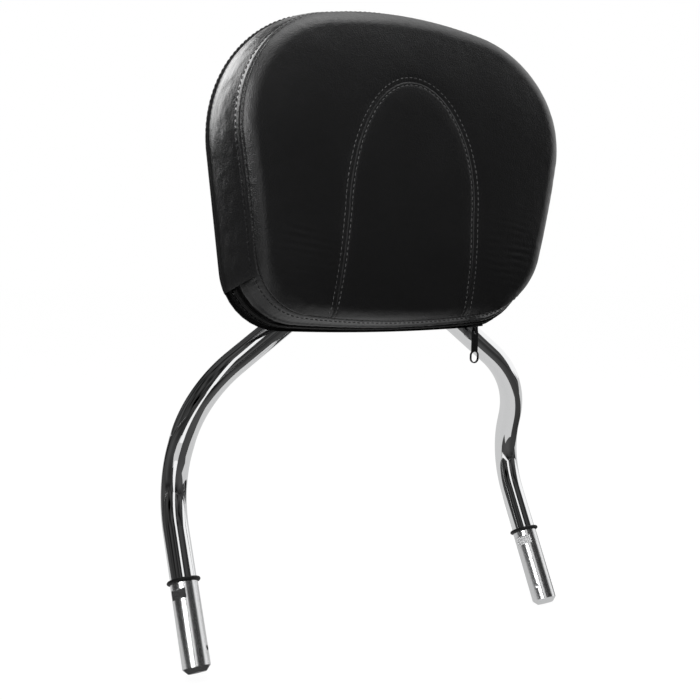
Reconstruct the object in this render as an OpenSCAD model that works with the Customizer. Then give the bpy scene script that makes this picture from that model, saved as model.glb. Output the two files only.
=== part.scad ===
// Passenger backrest for a motorbike: a padded, leather-covered cushion on a bent tube arch
// with two plug-in posts. Millimetres. X runs across the bike, -Y is the side a back leans on,
// Z runs up the cushion, and the origin is midway between the shoulders of the two posts.

/* [Frame tube] */
// Outside diameter of the tube
tube_d = 22.2; // [19:0.1:25.4]
// Wall thickness of the tube
tube_wall = 2; // [1.5:0.1:3]
// Half the length of the top bar, to the corner of its bend
bar_half = 64; // [56:1:80]
// Height of the top bar above the post shoulders
bar_z = 230; // [222:1:236]
// Distance of the top bar behind the post shoulders
bar_y = 2.4; // [0:0.2:6]
// Sideways place of the knee corner
knee_x = 166; // [156:1:172]
// Height of the knee corner
knee_z = 153; // [148:1:158]
// Distance of the knee corner behind the shoulders
knee_y = 3.5; // [0:0.5:8]
// Length along the post axis from its shoulder to the foot corner
foot_up = 80; // [74:1:86]
// Centre-line radius of the bend at the end of the top bar
bar_bend_r = 70; // [55:1:80]
// Centre-line radius of the knee bend
knee_bend_r = 94; // [80:1:100]
// Centre-line radius of the foot bend
foot_bend_r = 77; // [60:1:82]

/* [Posts] */
// Half the distance between the two posts
post_x = 177; // [170:1:184]
// Rake of the posts behind the plane of the cushion, in degrees
post_rake = 30; // [24:1:34]
// Diameter of a post
post_d = 23; // [19.5:0.1:26]
// Length of a post from its shoulder to its tip
post_len = 75; // [66:1:95]
// Chamfer at the tip of a post
post_chamfer = 4; // [1:0.5:6]
// Length of the spigot pressed into the tube
spigot_len = 20; // [12:1:26]
// Radial clearance of the spigot in the tube
spigot_gap = 0.1; // [0.05:0.05:0.3]
// Turn of the latch notch from straight ahead, in degrees
notch_turn = -52; // [-90:1:90]
// Distance of the latch notch below the shoulder
notch_down = 8.5; // [7:0.5:20]
// Height of the latch notch
notch_h = 8; // [4:0.5:12]
// Depth of the latch notch
notch_depth = 2.4; // [1:0.1:3]
// Distance of the detent hole below the shoulder
detent_down = 58; // [40:1:62]
// Diameter of the detent hole
detent_d = 4; // [2:0.5:6]
// Depth of the detent hole
detent_depth = 5; // [2:0.5:8]

/* [Rubber washers] */
// Outside diameter of a washer
washer_d = 28; // [27:0.5:36]
// Thickness of a washer
washer_t = 3.2; // [2:0.1:5]
// Radial clearance between a washer and the floor of its groove
washer_gap = 0.3; // [0.15:0.05:0.5]
// Depth of the groove that holds a washer
groove_depth = 0.8; // [0.6:0.1:1.2]
// How much wider the groove is than the washer is thick
groove_gap = 0.3; // [0.1:0.1:0.6]

/* [Cushion outline] */
// Height of the cushion's centre above the post shoulders
pad_z = 338; // [334:1:345]
// Distance of the front seam ahead of the post shoulders
seam_y = 57; // [50:1:70]
// Rise of the top of the outline above its upper corners
top_rise = 6; // [3:0.5:12]
// Fall of the bottom of the front seam below its lower corners
bottom_fall = 5.5; // [2:0.5:9]
// Sideways place of the centre of the upper corners
upper_x = 55; // [48:1:62]
// Height of the centre of the upper corners
upper_z = 30; // [26:1:33]
// Radius of the upper corners
upper_r = 95; // [90:1:96]
// Sideways place of the centre of the lower corners
lower_x = 80; // [74:1:86]
// Depth of the centre of the lower corners
lower_z = 59.5; // [57:0.5:62]
// Radius of the lower corners
lower_r = 57.5; // [52:0.5:59]
// How far the rear edge stands outside the front seam
flare = 11; // [4:1:14]
// How far the rear edge sits below the front seam
rear_drop = 6; // [2:1:9]
// Sideways place of the centre of the rear edge's lower corners
rear_x = 96; // [92:1:100]
// Depth of the centre of the rear edge's lower corners
rear_z = 78; // [75:1:80]
// Radius of the rear edge's lower corners
rear_r = 54; // [50:1:55]
// Fall of the bottom of the rear edge below its lower corners
rear_fall = 2.5; // [1.5:0.5:5]

/* [Cushion form] */
// Swell of the front face
crown = 5; // [0:0.5:12]
// Distance from the middle at which the front face's wrap and fall are measured
form_span = 100; // [80:5:120]
// Width over which the front face swells up from the front seam
crown_reach = 70; // [40:5:90]
// Sideways wrap of the front face, at that distance from the middle
wrap = 3; // [0:0.5:5]
// Fall of the front face, at that distance above and below the middle
lumbar = 8.5; // [2:0.5:10]
// Width of the rolled edge beside the front seam
roll_w = 15; // [8:1:20]
// Drop of the rolled edge
roll_drop = 4; // [1:0.5:6]
// Thickness of the leather panels
skin = 1.8; // [1.4:0.1:2.4]
// Gap between the cover and what it wraps
skin_gap = 0.3; // [0.2:0.05:0.6]
// Half-width of the horseshoe seam
shoe_x = 61; // [52:1:66]
// Height of the top of the horseshoe seam above the cushion's centre
shoe_top = 75; // [66:1:84]
// Depth of the widest place of the horseshoe's round top
shoe_side = 32; // [24:1:44]
// How much wider the legs of the horseshoe are at their foot
shoe_splay = 5; // [0:0.5:8]
// Depth of the valley at a seam
valley = 0.8; // [0.2:0.1:1.2]
// Swell of the side boxing
side_swell = 2; // [0:0.5:4]
// Height of the sewn ridges of the boxing
ridge_h = 0.9; // [0.4:0.1:1.6]
// Angle below the horizontal at which the bottom gusset starts on a lower corner
gusset_turn = 20; // [12:1:35]

/* [Board and fixings] */
// Thickness of the board behind the foam
board_t = 6; // [5:0.5:9]
// How far the board's edge lies inside the rear edge
board_inset = 14; // [10:1:20]
// Thickness of the mounting plate
plate_t = 4; // [3:0.5:6]
// Half the width of the mounting plate at the top
plate_top = 58; // [54:1:70]
// Half the width of the mounting plate at the bar
plate_foot = 62; // [56:1:80]
// Height of the mounting plate above the bar's axis
plate_h = 112; // [104:1:124]
// Corner radius of the mounting plate
plate_r = 12; // [6:1:16]
// Half the distance between the screws across
screw_x = 42; // [34:1:44]
// Height of the lower screws above the bar's axis
screw_low = 36; // [30:1:44]
// Height of the upper screws above the bar's axis
screw_high = 94; // [84:1:96]
// Diameter of the screws
screw_d = 8; // [6:0.5:8]
// Clearance round the screws, on diameter
screw_gap = 0.6; // [0.3:0.1:1]
// Diameter of the window in the mounting plate
window_d = 40; // [24:1:44]

/* [Zip] */
// Distance of the middle of the zip in front of the rear face
zip_in = 9; // [8:0.5:12]
// Width of the front zip tape
tape_w = 5; // [4.5:0.5:6]
// Thickness of the tapes
tape_t = 0.8; // [0.6:0.1:1.2]
// Pitch of the teeth on one tape
tooth_pitch = 5; // [4:0.5:7]
// Length of a tooth along the zip
tooth_w = 1.9; // [1.4:0.1:2.4]
// Length of a tooth across the zip
tooth_l = 1.8; // [1.4:0.1:2.2]
// Thickness of a tooth
tooth_t = 2; // [1.8:0.1:2.4]
// Sideways place of the zip's right-hand end stop
zip_end = 105; // [96:1:106]
// Length of the slider
slider_l = 12; // [9:0.5:15]
// Width of the slider
slider_w = 8.4; // [7.6:0.2:10]
// Thickness of a plate of the slider
slider_plate = 1.2; // [0.9:0.1:1.6]
// Running gap round the teeth in the slider
slider_gap = 0.5; // [0.4:0.1:0.8]
// Diameter of the slider's bail
bail_d = 1.8; // [1.4:0.1:2.2]
// Distance from the slider's outer plate to the axis of its bail
bail_drop = 4.6; // [4.4:0.1:6]
// Length of the zip pull from the bail's axis
pull_l = 30; // [24:1:38]
// Width of the zip pull
pull_w = 7; // [6:0.2:8.4]
// Thickness of the zip pull
pull_t = 1.6; // [1.2:0.1:2]

/* [Hidden] */
$fn = 64;

// Tube route, on the right-hand side
bar_corner = [bar_half, bar_y, bar_z];
knee_corner = [knee_x, knee_y, knee_z];
post_dir = [0, -sin(post_rake), -cos(post_rake)];
shoulder = [post_x, 0, 0];
foot_corner = shoulder - foot_up * post_dir;
bore_r = tube_d / 2 - tube_wall;

// Places of the cushion's layers along Y
back_y = bar_y - tube_d / 2 - 0.2;
board_back = back_y - skin - skin_gap;
board_front = board_back - board_t;

function unit(v) = v / norm(v);
function turn(a, b, c) = acos(unit(b - a) * unit(c - b));
function setback(a, b, c, r) = r * tan(turn(a, b, c) / 2);

// Lays a round rod from p to q.
module rod(p, q) {
    d = unit(q - p);
    translate(p) rotate([0, acos(d[2]), atan2(d[1], d[0])]) cylinder(h = norm(q - p), d = tube_d);
}

// Centre line of a round bend of radius rc at corner b, between the lines a-b and b-c, as
// [place, direction] in n steps.
function bend_run(a, b, c, rc, n) =
    let (u = unit(b - a), axis = unit(cross(u, unit(c - b))), inward = cross(axis, u),
         start = b - setback(a, b, c, rc) * u, full = turn(a, b, c))
    [for (k = [0:n]) let (t = full * k / n)
        [start + rc * ((1 - cos(t)) * inward + sin(t) * u), cos(t) * u + sin(t) * inward]];

// Route of the tube from the left-hand shoulder over the top to the right-hand one.
bar_middle = [0, bar_y, bar_z];
half_route = concat(bend_run(bar_middle, bar_corner, knee_corner, bar_bend_r, 8),
                    bend_run(bar_corner, knee_corner, foot_corner, knee_bend_r, 10),
                    bend_run(knee_corner, foot_corner, shoulder, foot_bend_r, 6), [[shoulder, post_dir]]);
other_half = [for (i = [len(half_route) - 1:-1:0]) let (p = half_route[i][0], d = half_route[i][1])
    [[-p[0], p[1], p[2]], [d[0], -d[1], -d[2]]]];
route = concat(other_half, half_route);
around = 24;

// Ring of points round one place of the route.
function tube_ring(at, r) =
    let (side = unit(cross(at[1], [0, 1, 0])), up = cross(side, at[1]))
    [for (k = [0:around - 1]) at[0] + r * (cos(360 * k / around) * side + sin(360 * k / around) * up)];

// Bent tube: an outer and an inner skin along the route, joined by a flat ring at each end.
module frame_tube() {
    n = len(route);
    outer = [for (at = route, p = tube_ring(at, tube_d / 2)) p];
    inner = [for (at = route, p = tube_ring(at, bore_r / cos(180 / around))) p];
    function next(j) = (j + 1) % around;
    function skin_faces(base, flip) = [for (i = [0:n - 2], j = [0:around - 1],
        f = let (a = base + i * around + j, b = base + i * around + next(j), c = b + around, d = a + around)
            flip ? [[a, b, c], [a, c, d]] : [[a, c, b], [a, d, c]]) f];
    function end_faces(i, flip) = [for (j = [0:around - 1],
        f = let (a = i * around + j, b = i * around + next(j), c = b + n * around, d = a + n * around)
            flip ? [[a, b, c], [a, c, d]] : [[a, c, b], [a, d, c]]) f];
    color("gainsboro") polyhedron(
        points = concat(outer, inner),
        faces = concat(skin_faces(0, true), skin_faces(n * around, false), end_faces(0, false),
                       end_faces(n - 1, true)));
}

// Puts a turned piece, drawn with its tip down the -Z axis, on a shoulder.
module on_shoulder(side) {
    translate([side * post_x, 0, 0]) rotate([-post_rake, 0, 0]) children();
}

// Plug-in post: spigot, washer groove, body with a latch notch, chamfered tip and a blind
// detent hole.
module post(hole_turn) {
    r = post_d / 2;
    groove_r = r - groove_depth;
    groove_end = -washer_t - groove_gap;
    spigot_r = bore_r - spigot_gap;
    difference() {
        rotate_extrude() polygon([[0, -post_len], [r - post_chamfer, -post_len], [r, post_chamfer - post_len],
                                  [r, groove_end], [groove_r, groove_end], [groove_r, 0],
                                  [spigot_r, 0], [spigot_r, spigot_len - 1],
                                  [spigot_r - 1, spigot_len], [0, spigot_len]]);
        rotate([0, 0, notch_turn]) translate([-r, -r - 1, -notch_down - notch_h])
            cube([2 * r, 1 + notch_depth, notch_h]);
        rotate([0, 0, hole_turn]) translate([0, 0, -detent_down]) rotate([90, 0, 0])
            translate([0, 0, r - detent_depth]) cylinder(h = detent_depth + 1, d = detent_d);
    }
}

module left_post() {
    color("silver") on_shoulder(-1) post(-notch_turn);
}

module right_post() {
    color("silver") on_shoulder(1) post(notch_turn);
}

// Rubber washer with a rounded rim, below the shoulder.
module washer() {
    rim = washer_t / 2;
    bore = post_d / 2 - groove_depth + washer_gap;
    rotate_extrude() {
        translate([bore, -washer_t]) square([washer_d / 2 - rim - bore, washer_t]);
        translate([washer_d / 2 - rim, -rim]) circle(r = rim, $fn = 32);
    }
}

module left_washer() {
    color("dimgray") on_shoulder(-1) washer();
}

module right_washer() {
    color("dimgray") on_shoulder(1) washer();
}

// Steel plate welded along the bar, that the cushion is screwed to. The weld lies where the
// plate's rear face meets the straight stretch of the bar.
bar_reach = half_route[0][0][0];
plate_low = tube_d / 4;
weld_r = 2.4;
weld_z = sqrt(pow(tube_d / 2, 2) - pow(bar_y - back_y - plate_t, 2));

module mounting_plate() {
    color("lightgray") difference() {
        union() {
            translate([0, back_y + plate_t, bar_z]) rotate([90, 0, 0]) linear_extrude(plate_t) {
                hull() for (s = [-1, 1]) {
                    translate([s * (plate_top - plate_r), plate_h - plate_r]) circle(r = plate_r, $fn = 32);
                    translate([s * (plate_foot - plate_r), plate_low + plate_r])
                        circle(r = plate_r, $fn = 32);
                }
            }
            translate([-bar_reach + weld_r, back_y + plate_t, bar_z + weld_z]) rotate([0, 90, 0])
                cylinder(h = 2 * (bar_reach - weld_r), r = weld_r, $fn = 24);
        }
        rod([-plate_foot, bar_y, bar_z], [plate_foot, bar_y, bar_z]);
        translate([0, 0, bar_z]) at_screws() cylinder(h = 3 * plate_t, d = screw_d + screw_gap, center = true);
        translate([0, back_y, bar_z + (screw_low + screw_high) / 2]) rotate([90, 0, 0])
            cylinder(h = 4 * plate_t, d = window_d, center = true);
    }
}

// Puts children at the four screws, with +Z pointing backwards from the back panel.
module at_screws() {
    for (s = [-1, 1], z = [screw_low, screw_high])
        translate([s * screw_x, back_y, z]) rotate([-90, 0, 0]) children();
}

// Screws with a domed head and a hexagon socket
head_r = 0.86 * screw_d;
head_rim = 1.2;
head_h = 0.55 * screw_d;
head_dome = 1.1 * screw_d;
socket_d = 0.7 * screw_d;
socket_floor = 0.2 * screw_d;
flat_washer_t = 1.6;
flat_washer_d = 2.1 * screw_d;

module plate_screws() {
    head_y = plate_t + flat_washer_t;
    reach = skin + skin_gap + board_t;
    color("silver") translate([0, 0, bar_z]) at_screws() difference() {
        union() {
            translate([0, 0, -reach]) cylinder(h = reach + head_y, d = screw_d);
            translate([0, 0, head_y]) rotate_extrude() {
                square([head_r, head_rim]);
                intersection() {
                    square([head_r, head_h]);
                    translate([0, head_h - head_dome]) circle(r = head_dome);
                }
            }
        }
        translate([0, 0, head_y + socket_floor]) cylinder(h = screw_d, d = socket_d, $fn = 6);
    }
}

module screw_washers() {
    color("lightgray") translate([0, 0, bar_z]) at_screws() translate([0, 0, plate_t]) difference() {
        cylinder(h = flat_washer_t, d = flat_washer_d);
        translate([0, 0, -1]) cylinder(h = flat_washer_t + 2, d = screw_d + screw_gap);
    }
}

// Tee nuts let into the front of the board.
nut_flange_t = 1.5;
nut_flange_d = 2.4 * screw_d;
nut_d = screw_d + 2.6;
thread_gap = 0.1;

module nut_space(gap) {
    depth = skin + skin_gap + board_t;
    translate([0, 0, -depth - gap]) cylinder(h = nut_flange_t + 2 * gap, d = nut_flange_d + 2 * gap);
    translate([0, 0, -depth]) cylinder(h = board_t, d = nut_d + 2 * gap);
}

module tee_nuts() {
    color("goldenrod") translate([0, 0, bar_z]) at_screws() difference() {
        nut_space(0);
        translate([0, 0, -20]) cylinder(h = 30, d = screw_d + thread_gap);
    }
}

// Outline of the cushion, as [centre and radius of the upper corners, centre and radius of the
// lower corners, top, bottom]. A wide arc joins the corners at the top and at the bottom, and a
// straight joins them at the sides.
pad_top = upper_z + upper_r + top_rise;
pad_bottom = lower_z + lower_r + bottom_fall;
front_shape = [[upper_x, upper_z], upper_r, [lower_x, -lower_z], lower_r, pad_top, -pad_bottom];
rear_shape = [[upper_x, upper_z - rear_drop], upper_r + flare, [rear_x, -rear_z], rear_r,
              pad_top + flare - rear_drop, -rear_z - rear_r - rear_fall];

function mix(a, b, f) = a + (b - a) * f;
function ray(a) = [cos(a), sin(a)];
function heading(v) = atan2(v[1], v[0]);
function grown(s, off) = [s[0], s[1] + off, s[2], s[3] + off, s[4] + off, s[5] - off];
function cap_r(x, h, r) = (x * x + h * h - r * r) / (2 * (h - r));
function top_r(s) = cap_r(s[0][0], s[4] - s[0][1], s[1]);
function top_c(s) = [0, s[4] - top_r(s)];
function bottom_r(s) = cap_r(s[2][0], s[2][1] - s[5], s[3]);
function bottom_c(s) = [0, s[5] + bottom_r(s)];
function top_turn(s) = heading(s[0] - top_c(s));
function bottom_turn(s) = heading(s[2] - bottom_c(s));
function side_turn(s) = heading(s[2] - s[0]) + acos((s[1] - s[3]) / norm(s[2] - s[0]));

// Stretches of the right-hand half from the top to the bottom, as [centre, radius, from, to, steps].
function stretches(s) = [[top_c(s), top_r(s), 90, top_turn(s), 5],
                         [s[0], s[1], top_turn(s), side_turn(s), 13],
                         [s[2], s[3], side_turn(s) - 4, bottom_turn(s), 11],
                         [bottom_c(s), bottom_r(s), bottom_turn(s), -90, 6]];
// Directions of the normals at the points of the outline, and the points themselves.
function half_turns(s) = concat([for (a = stretches(s), i = [0:a[4] - 1]) mix(a[2], a[3], i / a[4])], [-90]);
function half_outline(s) = concat(
    [for (a = stretches(s), i = [0:a[4] - 1]) a[0] + a[1] * ray(mix(a[2], a[3], i / a[4]))], [[0, s[5]]]);
front_turns = half_turns(front_shape);
rear_turns = half_turns(rear_shape);
rim_points = half_outline(front_shape);
rear_points = half_outline(rear_shape);
half_n = len(rim_points);
function flip(p) = [-p[0], p[1]];
function loop_of(h) = concat(h, [for (i = [len(h) - 2:-1:1]) flip(h[i])]);

// Distance of a place on the front face from the front seam.
front_top_r = top_r(front_shape);
front_bottom_r = bottom_r(front_shape);
front_bottom_c = bottom_c(front_shape);
front_side = side_turn(front_shape);
function seam_gap(x, z) =
    let (p = [abs(x), z],
         to_upper = p - front_shape[0],
         to_lower = p - front_shape[2],
         flat = min(front_top_r - norm(p - [0, pad_top - front_top_r]),
                    front_bottom_r - norm(p - front_bottom_c),
                    upper_r - to_upper * ray(front_side)))
    heading(to_upper) > front_side && heading(to_upper) < top_turn(front_shape)
        ? min(flat, upper_r - norm(to_upper))
    : heading(to_lower) < front_side && heading(to_lower) > bottom_turn(front_shape)
        ? min(flat, lower_r - norm(to_lower))
    : flat;

// Y of the front face: bent across and up, crowned in the middle and rolled at the seam.
function bow(x, z) = -seam_y - wrap * pow(x / form_span, 2) + lumbar * pow(z / form_span, 2);
function face_y(x, z) =
    let (g = max(seam_gap(x, z), 0), full = min(g / crown_reach, 1), edge = max(1 - g / roll_w, 0))
    bow(x, z) - roll_drop - crown * (1 - pow(1 - full, 2)) + roll_drop * pow(edge, 2);

// Side faces of a solid through n rings of m points each.
function ring_faces(n, m) = [for (i = [0:n - 2], j = [0:m - 1],
    f = let (a = i * m + j, b = i * m + (j + 1) % m) [[a, b, a + m], [b, b + m, a + m]]) f];

// Closed solid through a row of rings of points.
module rings(rows) {
    n = len(rows);
    m = len(rows[0]);
    polyhedron(
        points = [for (r = rows, p = r) p],
        faces = concat(ring_faces(n, m), [[for (j = [m - 1:-1:0]) j]],
                       [[for (j = [0:m - 1]) (n - 1) * m + j]]));
}

// Closed solid between an outer and an inner grid of points.
module slab(outer, inner) {
    n = len(outer);
    m = 2 * len(outer[0]);
    last = (n - 1) * m;
    polyhedron(
        points = [for (i = [0:n - 1], p = concat(outer[i], [for (j = [m / 2 - 1:-1:0]) inner[i][j]])) p],
        faces = concat(ring_faces(n, m),
            [for (j = [0:m / 2 - 2], f = [[j + 1, j, m - 1 - j], [j + 1, m - 1 - j, m - 2 - j],
                [last + j, last + j + 1, last + m - 1 - j],
                [last + j + 1, last + m - 2 - j, last + m - 1 - j]]) f]));
}

// Horseshoe seam of the front face, right-hand half from its top to the bottom seam.
shoe_n = half_n - 6;
shoe_round_n = floor(shoe_n / 2);
function shoe(i) =
    let (a = 90 * (1 - i / shoe_round_n), f = (i - shoe_round_n) / (shoe_n - 1 - shoe_round_n))
    i <= shoe_round_n ? [shoe_x * cos(a), -shoe_side + (shoe_top + shoe_side) * sin(a)]
    : [shoe_x + shoe_splay * f, -mix(shoe_side, low_edge(shoe_x + shoe_splay * f), f)];
// Depth of the front seam below the centre, at x on the bottom arc.
function low_edge(x) = sqrt(front_bottom_r * front_bottom_r - x * x) - front_bottom_c[1];

function lift(p, t) = [p[0], face_y(p[0], p[1]) + t, pad_z + p[1]];

band_steps = [0, 0.12, 0.4, 0.65, 0.82, 0.92, 0.97, 1];

module front_panel() {
    half = [for (i = [0:shoe_n - 1]) [for (f = band_steps) mix(shoe(i), rim_points[i], f)]];
    both = concat([for (i = [shoe_n - 1:-1:1]) [for (p = half[i]) flip(p)]], half);
    function layer(t, dip) = [for (row = both)
        [for (j = [0:len(row) - 1]) lift(row[j], t + (j == 0 ? dip : 0))]];
    color([0.13, 0.13, 0.14]) slab(layer(0, valley), layer(skin, 0));
}

// Panel inside the horseshoe, with a narrow first row at its top.
center_cols = 10;
center_gap = 0.2;

module center_panel() {
    rows = [for (i = concat([0.4], [for (k = [1:shoe_n - 1]) k])) [for (c = [0:center_cols])
        let (x = (2 * c / center_cols - 1) * (shoe(i)[0] - center_gap))
        [x, i == shoe_n - 1 ? -low_edge(x) : shoe(i)[1]]]];
    function layer(t, dip) = [for (r = rows) [for (c = [0:center_cols])
        lift(r[c], t + (c == 0 || c == center_cols ? dip : 0))]];
    color([0.15, 0.15, 0.16]) slab(layer(0, valley), layer(skin, 0));
}

// Place on the boxing: station k of the half outline, share s from the front seam to the back
// panel, and height h outside the leather's plain surface.
function wall_y(k, s) = mix(bow(rim_points[k][0], rim_points[k][1]) + skin, back_y - skin, s);
function wall_at(k, s, h) =
    let (p = mix(rim_points[k], rear_points[k], s) + h * ray(mix(front_turns[k], rear_turns[k], s)))
    [p[0], wall_y(k, s), pad_z + p[1]];
function mirror_x(p) = [-p[0], p[1], p[2]];

// A strip of the boxing with the given outer profile: over the top down to station k on both
// sides, or under the bottom from station k.
module boxing_strip(profile, k, over) {
    s0 = profile[0][0];
    s1 = profile[len(profile) - 1][0];
    middle = (s0 + s1) / 2;
    hollow = over ? swell_at(middle) : 0;
    ring = concat(profile, [[s1, -skin], [middle, hollow - skin], [s0, -skin]]);
    function right(i) = [for (q = ring) wall_at(i, q[0], q[1])];
    function left(i) = [for (q = ring) mirror_x(wall_at(i, q[0], q[1]))];
    rings(over ? concat([for (i = [k:-1:1]) left(i)], [for (i = [0:k]) right(i)])
               : concat([for (i = [k:half_n - 1]) right(i)], [for (i = [half_n - 2:-1:k]) left(i)]));
}

function swell_at(s) = side_swell * sin(180 * s);
// Shares of the depth at which the front ridge ends and the rear ridge starts
front_ridge = 0.17;
rear_ridge = 0.84;
gusset_k = [for (k = [0:half_n - 1]) if (front_turns[k] < -gusset_turn) k][0];

module side_boxing() {
    profile = concat([[0, 0], [0.01, ridge_h], [front_ridge, ridge_h]],
                     [for (s = [front_ridge + 0.02, 0.35, 0.5, 0.65, rear_ridge - 0.02]) [s, swell_at(s)]],
                     [[rear_ridge, 1.6 * ridge_h], [0.98, ridge_h], [1, 0]]);
    color([0.17, 0.17, 0.18]) boxing_strip(profile, gusset_k, true);
}

// Zip along the rear edge of the bottom: an arc on which the slider runs, and the two corners.
zip_y = back_y - zip_in;
bottom_front_y = bow(0, pad_bottom) + skin;
zip_share = (zip_y - bottom_front_y) / (back_y - skin - bottom_front_y);
zip_shape = mix(front_shape, rear_shape, zip_share);
zip_r = bottom_r(zip_shape);
zip_c = bottom_c(zip_shape) + [0, pad_z];
zip_low = bottom_turn(zip_shape);
zip_corner_r = zip_shape[3];
zip_corner_c = zip_shape[2] + [0, pad_z];
tape_start = mix(front_turns[gusset_k], rear_turns[gusset_k], zip_share) - 1.5;

// Distances from the middle of the zip: the gap between the two rows of teeth, the edge of the
// tapes, the end of their flat stretch, and their outer edges.
row_gap = 0.7;
tape_edge = row_gap + tooth_l;
tape_flat = slider_w / 2 + 0.5;
front_tape_end = tape_edge + tape_w;
rear_tape_end = zip_in - skin;
tape_slope = 0.4;

// Bottom gusset, as far as the front tape of the zip.
module bottom_gusset() {
    end = zip_share - front_tape_end / (back_y - skin - bottom_front_y);
    low = 0.7 * ridge_h;
    profile = [[0, 0], [0.01, low], [front_ridge, low], [front_ridge + 0.03, 0],
               [end - 0.08, 0], [end - 0.04, ridge_h], [end, ridge_h]];
    color([0.2, 0.2, 0.21]) boxing_strip(profile, gusset_k, false);
}

module back_panel() {
    color([0.12, 0.12, 0.13]) difference() {
        translate([0, back_y, pad_z]) rotate([90, 0, 0]) linear_extrude(skin) polygon(loop_of(rear_points));
        translate([0, 0, bar_z]) at_screws() cylinder(h = 20, d = nut_d + 1, center = true);
    }
}

module base_board() {
    color("darkslategray") difference() {
        translate([0, board_back, pad_z]) rotate([90, 0, 0]) linear_extrude(board_t)
            polygon(loop_of(half_outline(grown(rear_shape, -board_inset))));
        translate([0, 0, bar_z]) at_screws() {
            nut_space(thread_gap / 2);
            cylinder(h = 30, d = screw_d + screw_gap, center = true);
        }
    }
}

// Foam: the cushion's form inside the cover, in front of the board.
foam_inset = 7;
foam_side_gap = 1;

module foam_core() {
    inset = skin + skin_gap;
    rim = loop_of(half_outline(grown(front_shape, -skin - foam_side_gap)));
    rear = loop_of(half_outline(grown(rear_shape, -foam_inset)));
    function place(q, y) = [q[0], y, pad_z + q[1]];
    function front(f) = [for (p = rim) place(f * p, face_y(f * p[0], f * p[1]) + inset)];
    function side(s) = [for (i = [0:len(rim) - 1])
        place(mix(rim[i], rear[i], s), mix(face_y(rim[i][0], rim[i][1]) + inset, board_front, s))];
    color("khaki")
        rings(concat([for (s = [1, 0.4]) side(s)], [for (f = [1, 0.95, 0.86, 0.7, 0.45, 0.15]) front(f)]));
}

// Places along the zip as [centre, radius, angle]: left corner, bottom arc, right corner.
zip_route = concat(
    [for (i = [0:8]) [flip(zip_corner_c), zip_corner_r, mix(-180 - tape_start, -180 - zip_low, i / 8)]],
    [for (i = [1:11]) [zip_c, zip_r, mix(-180 - zip_low, zip_low, i / 12)]],
    [for (i = [0:8]) [zip_corner_c, zip_corner_r, mix(zip_low, tape_start, i / 8)]]);

// Section of a tape on one side of the zip as [distance outwards, distance behind the zip's
// middle]: flat beside the slider, then sloping with the cover.
function tape_section(side, end) =
    let (fall = side * tape_slope * (end - tape_flat),
         ring = [[-tape_t, side * tape_edge], [0, side * tape_edge], [0, side * tape_flat],
                 [fall, side * end], [fall - tape_t, side * end], [-tape_t, side * tape_flat]])
    side < 0 ? ring : [for (i = [5:-1:0]) ring[i]];

module tape(side, end) {
    rings([for (at = zip_route) [for (q = tape_section(side, end)) let (p = at[0] + (at[1] + q[0]) * ray(at[2]))
        [p[0], zip_y + q[1], p[1]]]]);
}

module front_zip_tape() {
    color([0.08, 0.08, 0.08]) tape(-1, front_tape_end);
}

module rear_zip_tape() {
    color([0.08, 0.08, 0.08]) tape(1, rear_tape_end);
}

// Puts children on the zip at angle a of an arc: X along it, Y backwards, Z outwards.
module on_zip(c, r, a) {
    translate([c[0] + r * cos(a), zip_y, c[1] + r * sin(a)]) rotate([0, 90 - a, 0]) children();
}

// A block on the edge of one tape.
module tooth(side, l) {
    middle = side * (row_gap + tooth_l / 2);
    translate([-l / 2, middle - tooth_l / 2, -tape_t / 2 - tooth_t / 2]) cube([l, tooth_l, tooth_t]);
}

module teeth_on(c, r, from, to) {
    step = tooth_pitch / 2 / r * 180 / PI;
    for (i = [0:floor((to - from) / step) - 1])
        on_zip(c, r, from + step * (i + 0.5)) tooth(i % 2 == 0 ? 1 : -1, tooth_w);
}

// Angles of places on the zip: the slider at rest, and the first end stop past it.
function zip_angle(x) = -acos(x / zip_r);
function corner_angle(x) = -acos((x - zip_corner_c[0]) / zip_corner_r);
stop_l = 1.8;
left_stop = -180 - tape_start + 3;
slider_x = zip_end - slider_l / 2 - stop_l / 2 - slider_gap;
slider_a = zip_angle(slider_x);

module zip_teeth() {
    color([0.25, 0.25, 0.25]) {
        teeth_on(flip(zip_corner_c), zip_corner_r, left_stop + 2, -180 - zip_low);
        teeth_on(zip_c, zip_r, -180 - zip_low, slider_a);
    }
}

// Metal stops on both tapes, at both ends of the row of teeth.
module zip_end_stops() {
    color("silver") for (side = [-1, 1]) {
        on_zip(zip_corner_c, zip_corner_r, corner_angle(zip_end)) tooth(side, stop_l);
        on_zip(flip(zip_corner_c), zip_corner_r, left_stop) tooth(side, stop_l);
    }
}

// Slider: two plates with side flanges, joined by a thin neck between the rows of teeth. A bail
// pin between two ears carries the pull.
chamber_t = tooth_t + 2 * slider_gap;
slot_t = tape_t + 1.4;
slider_t = chamber_t + 2 * slider_plate;
neck_t = 0.8;
neck_l = 3;
ear_t = 1.2;
ear_l = bail_d + 1;
bail_half = 2.4;
bail_r = zip_r - tape_t / 2 + slider_t / 2 + bail_drop;

module zip_slider() {
    color([0.2, 0.2, 0.2]) on_zip(zip_c, zip_r, slider_a) translate([0, 0, -tape_t / 2]) {
        difference() {
            cube([slider_l, slider_w, slider_t], center = true);
            cube([2 * slider_l, 2 * (tape_edge + slider_gap), chamber_t], center = true);
            cube([2 * slider_l, 2 * slider_w, slot_t], center = true);
        }
        translate([slider_l / 2 - neck_l, 0, 0]) cube([neck_l, neck_t, chamber_t + slider_plate], center = true);
        translate([0, 0, slider_t / 2 + bail_drop]) rotate([90, 0, 0])
            cylinder(h = 2 * bail_half, d = bail_d, center = true);
        for (side = [-1, 1])
            translate([-ear_l / 2, side * bail_half - ear_t / 2, slider_t / 2 - slider_plate / 2])
                cube([ear_l, ear_t, bail_drop + ear_l / 2 + slider_plate / 2]);
    }
}

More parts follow.
